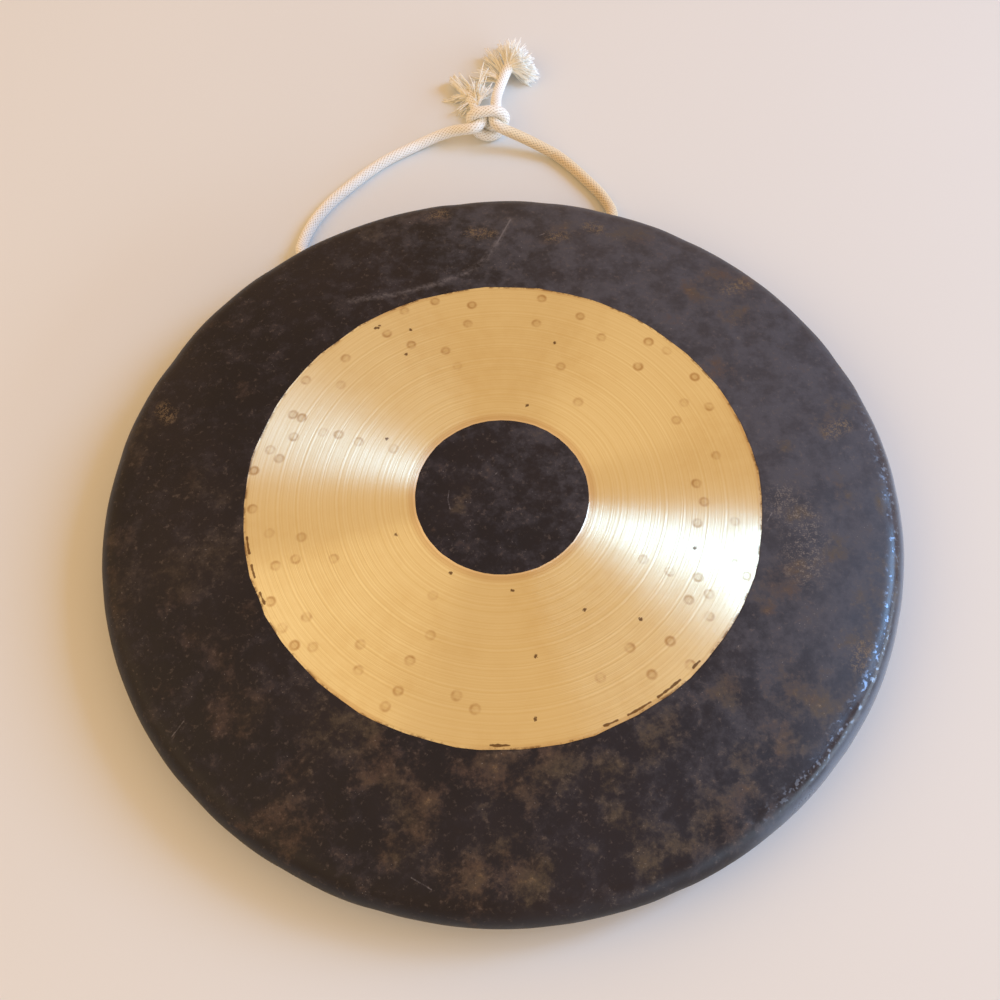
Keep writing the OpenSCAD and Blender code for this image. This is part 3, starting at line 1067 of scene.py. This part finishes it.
def scraped_bronze(name):
    """Bare bronze turned with fine rings, with punch marks and the scraper's leavings."""
    t = Tree(name)
    mottle = t.noise(18, 5, 0.6)
    grooves = turned_grooves(t, mottle)
    colour = t.mix(t.remap(grooves, 0.25, 0.75), GROOVE, RIDGE)
    colour = stained(t, colour, mottle)
    colour = punched(t, colour, mottle)
    colour = pitted(t, colour)
    colour = edged(t, colour, mottle)
    rough = t.remap(grooves, 0.3, 0.7, 0.31, 0.36)
    tangent = t.node("ShaderNodeTangent", direction_type="RADIAL", axis="Z").outputs[0]
    t.constant("Anisotropic", 1.0)
    t.constant("Anisotropic Rotation", 0.25)
    return t.finish(Base_Color=colour, Roughness=rough, Normal=t.bump(grooves, 0.35, 0.4 * MM),
                    Metallic=1.0, Tangent=tangent)


# ---------- the cord and the floor

# Painted shade in the braid's hollows, also used for darker fibres
WHITE_COTTON, HOLLOW_SHADE_AND_FIBRE = srgb(253, 255, 250), srgb(172, 164, 140)
# The root colour is painted shade inside the tufts, and also a random fibre tone
YARN_TIP, YARN_ROOT_SHADE_AND_TONE = srgb(252, 255, 250), srgb(248, 246, 232)
# Painted shade: the tan of the right cord's shaded side
PAINTED_TAN = srgb(236, 214, 172)
FLOOR_COLOURS = (srgb(220, 225, 225), srgb(225, 230, 230))
COTTON_SHEEN = 0.3
COTTON_ROUGHNESS = 0.9


def braided_cotton(name):
    """Braided cotton, with painted shade in the braid's hollows and a painted tan shade on the right cord
    near its hole.
    """
    t = Tree(name)
    fibres = t.noise(2600, 3, 0.6)
    # Painted shade: darker where the braid is low
    colour = t.mix(t.remap(t.attribute("height"), 0.08, 0.66), HOLLOW_SHADE_AND_FIBRE, WHITE_COTTON)
    # Painted tan shade on the right cord, from its hole towards the knot
    colour = t.mix(t.product(t.attribute("painted_tan_shade"), 0.8), colour, PAINTED_TAN, "MULTIPLY")
    colour = t.mix(t.product(fibres, 0.1), colour, HOLLOW_SHADE_AND_FIBRE)
    t.constant("Sheen Weight", COTTON_SHEEN)
    return t.finish(Base_Color=colour, Roughness=COTTON_ROUGHNESS, Normal=t.bump(fibres, 0.4, 0.2 * MM))


def loose_cotton(name):
    """Loose yarns, palest at their tips, with painted shade towards their roots and paler fibres here and
    there.
    """
    t = Tree(name)
    fibres = t.noise(1500, 3, 0.6)
    paleness = t.total(t.product(t.attribute("tip"), 0.6), t.product(fibres, 0.4))
    colour = t.mix(paleness, YARN_ROOT_SHADE_AND_TONE, YARN_TIP)
    t.constant("Sheen Weight", COTTON_SHEEN)
    return t.finish(Base_Color=colour, Roughness=COTTON_ROUGHNESS)


def plain_floor(name):
    """A pale, nearly even floor."""
    t = Tree(name)
    colour = t.mix(t.noise(3, 2, 0.5), *FLOOR_COLOURS)
    t.constant("Specular IOR Level", 0.3)
    return t.finish(Base_Color=colour, Roughness=0.85)


# ---------- pieces

YARN_SEED = 5


def make_cords():
    """The three lengths of braided cord and the two frayed ends."""
    rng = np.random.default_rng(YARN_SEED)
    braid = braided_cotton("cord_cotton")
    frayed = loose_cotton("frayed_cotton")
    left_line, right_line, inner_line = cord_lines()
    left, left_path = braided_cord("cord_left", left_line, braid)
    # The right cord gets a painted tan shade near its hole
    right, right_path = braided_cord("cord_right", right_line, braid, tan_shade_to=TAN_SHADE_TO)
    inner, inner_path = braided_cord("cord_behind", inner_line, braid, HIDDEN_RING_STEP)
    long_brush = brush("frayed_long_end", loose_yarns(LONG_END, rng), frayed)
    short_brush = brush("frayed_short_end", straight_tuft(rng) + loose_yarns(SHORT_END, rng), frayed)

    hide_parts("cord_left_strand", "knot", "short_tail")
    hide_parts("cord_right_strand", "long_tail")
    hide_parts("cord_inner_run")
    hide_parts("long_tassel")
    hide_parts("short_tassel")
    for cord in (left, right):
        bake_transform(cord)
    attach(inner, "gong")
    for piece in (long_brush, short_brush):
        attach(piece, "hanging_loop")


def make_gong():
    """The bronze gong with its two finishes."""
    gong = gong_mesh([patina("dark_patina"), scraped_bronze("scraped_bronze")])
    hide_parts("gong")
    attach(gong, "gong")


# ---------- studio

FLOOR_HALF_SIDE = 8.0
WINDOW_COLOUR = (0.27, 0.54, 0.95)
SKY_COLOUR = (0.55, 0.76, 1.0)
LAMP_COLOUR = (1.0, 0.78, 0.48)
ROOM_COLOUR = (1.0, 0.61, 0.31)
ROOM_STRENGTH = 0.8
# The lights: azimuth and elevation in degrees, distance, width and height, power in watts, colour
LIGHTS = {
    "window": (107, 36, 2.6, (0.5, 1.3), 29, WINDOW_COLOUR),
    "curtain": (93, 36, 2.6, (0.78, 1.3), 16.5, WINDOW_COLOUR),
    "sky": (62, 12, 2.6, (3.8, 0.8), 52, SKY_COLOUR),
    "lamp": (-74, 42, 2.0, (2.0, 1.2), 8, LAMP_COLOUR),
}


def area_light(name, azimuth, elevation, distance, size, power, colour):
    """A rectangular light that shines at the middle of the face."""
    data = bpy.data.lights.new(name, "AREA")
    data.shape = "RECTANGLE"
    data.size, data.size_y = size
    data.energy = power
    data.color = colour
    light = link(bpy.data.objects.new(name, data))
    light.matrix_world = around(azimuth, elevation, distance, (0, 0, FACE_Z))


def make_studio():
    """The floor, the lights and the warm light of the room."""
    side = FLOOR_HALF_SIDE
    corners = [(-side, -side, 0), (side, -side, 0), (side, side, 0), (-side, side, 0)]
    floor = mesh_piece("floor", corners, [(0, 1, 2, 3)])
    floor.data.materials.append(plain_floor("pale_floor"))
    for name, light in LIGHTS.items():
        area_light(name, *light)
    world = bpy.data.worlds.new("studio")
    world.use_nodes = True
    background = world.node_tree.nodes["Background"]
    background.inputs["Color"].default_value = (*ROOM_COLOUR, 1)
    background.inputs["Strength"].default_value = ROOM_STRENGTH
    bpy.context.scene.world = world
    bpy.context.scene.view_settings.view_transform = "Standard"


make_camera()
make_cords()
make_gong()
make_studio()
